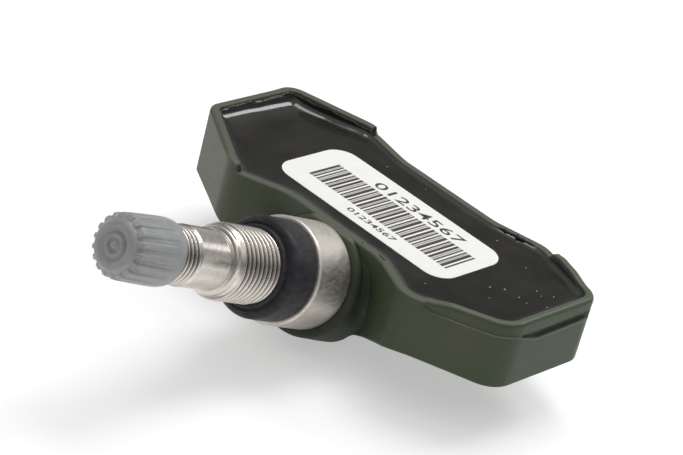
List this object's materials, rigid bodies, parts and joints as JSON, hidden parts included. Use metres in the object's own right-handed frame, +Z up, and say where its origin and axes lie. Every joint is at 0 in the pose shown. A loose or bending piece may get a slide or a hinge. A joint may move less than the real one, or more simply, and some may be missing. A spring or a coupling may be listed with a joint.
{
  "type": "tyre pressure sensor",
  "caption": "Clamp-in tyre pressure sensor: moulded housing with potted electronics and a label, on a turned metal valve stem with a sealing grommet, spring valve core and ribbed screw cap.",
  "frame": {"origin": "on the stem's axis where the rubber grommet ends and the nut thread starts", "axes": "+X along the housing, +Y across it towards its back, +Z up out of the potted face; the stem points to -Y and rises to +Z by 20.5 degrees"},
  "size_m": [0.0606, 0.0684, 0.0286],
  "materials": {
    "housing": "moulded glass-filled plastic, dark olive green, satin",
    "potting_compound": "cast black compound, glossy",
    "barcode_label": "white paper label, matte",
    "label_print": "dark ink",
    "circuit_board": "green board",
    "coin_cell": "plated steel can",
    "cell_tab_top": "plated strip",
    "cell_tab_bottom": "plated strip",
    "pressure_sensor": "moulded package",
    "port_gasket": "soft silicone",
    "controller_chip": "moulded package",
    "transmitter_chip": "moulded package",
    "crystal_can": "plated can",
    "coil_core": "ferrite",
    "coil_winding": "enamelled copper wire",
    "antenna_strip": "bare strip",
    "motion_switch": "plated can",
    "chip_components": "ceramic chips",
    "valve_stem": "turned and plated, satin",
    "sealing_grommet": "moulded rubber, satin",
    "core_body": "turned brass",
    "core_gasket": "soft seal",
    "core_pin": "turned brass",
    "core_cup": "soft seal",
    "core_spring": "spring wire",
    "valve_cap": "slightly translucent grey plastic, satin",
    "cap_seal": "soft washer"
  },
  "bodies": {
    "sensor": {"housing": "housing", "potting_compound": "potting_compound", "barcode_label": "barcode_label", "label_print": "label_print", "circuit_board": "circuit_board", "coin_cell": "coin_cell", "cell_tab_top": "cell_tab_top", "cell_tab_bottom": "cell_tab_bottom", "pressure_sensor": "pressure_sensor", "port_gasket": "port_gasket", "controller_chip": "controller_chip", "transmitter_chip": "transmitter_chip", "crystal_can": "crystal_can", "coil_core": "coil_core", "coil_winding": "coil_winding", "antenna_strip": "antenna_strip", "motion_switch": "motion_switch", "chip_components": "chip_components", "valve_stem": "valve_stem", "sealing_grommet": "sealing_grommet", "core_body": "core_body", "core_gasket": "core_gasket", "core_spring": "core_spring"},
    "core_pin_group": {"core_pin": "core_pin", "core_cup": "core_cup"},
    "cap_washer": {"cap_seal": "cap_seal"},
    "cap": {"valve_cap": "valve_cap"}
  },
  "joints": [
    {"name": "cap_slide", "type": "slide", "parent": "sensor", "child": "cap_washer", "axis": [0, -0.9367, 0.3502], "range_m": [0, 0.00754]},
    {"name": "cap_spin", "type": "hinge", "parent": "cap_washer", "child": "cap", "pos_m": [0, -0.02435, 0.00911], "axis": [0, -0.9367, 0.3502], "range_deg": [0, 3422]},
    {"name": "core_press", "type": "slide", "parent": "sensor", "child": "core_pin_group", "axis": [0, 0.9367, -0.3502], "range_m": [0, 0.0015], "stiffness_N_per_m": 300, "springref_m": -0.003, "deforming": ["core_spring"]}
  ],
  "couplings": [
    {"joint": "cap_spin", "follows": "cap_slide", "rad_per_m": 7915.8}
  ]
}
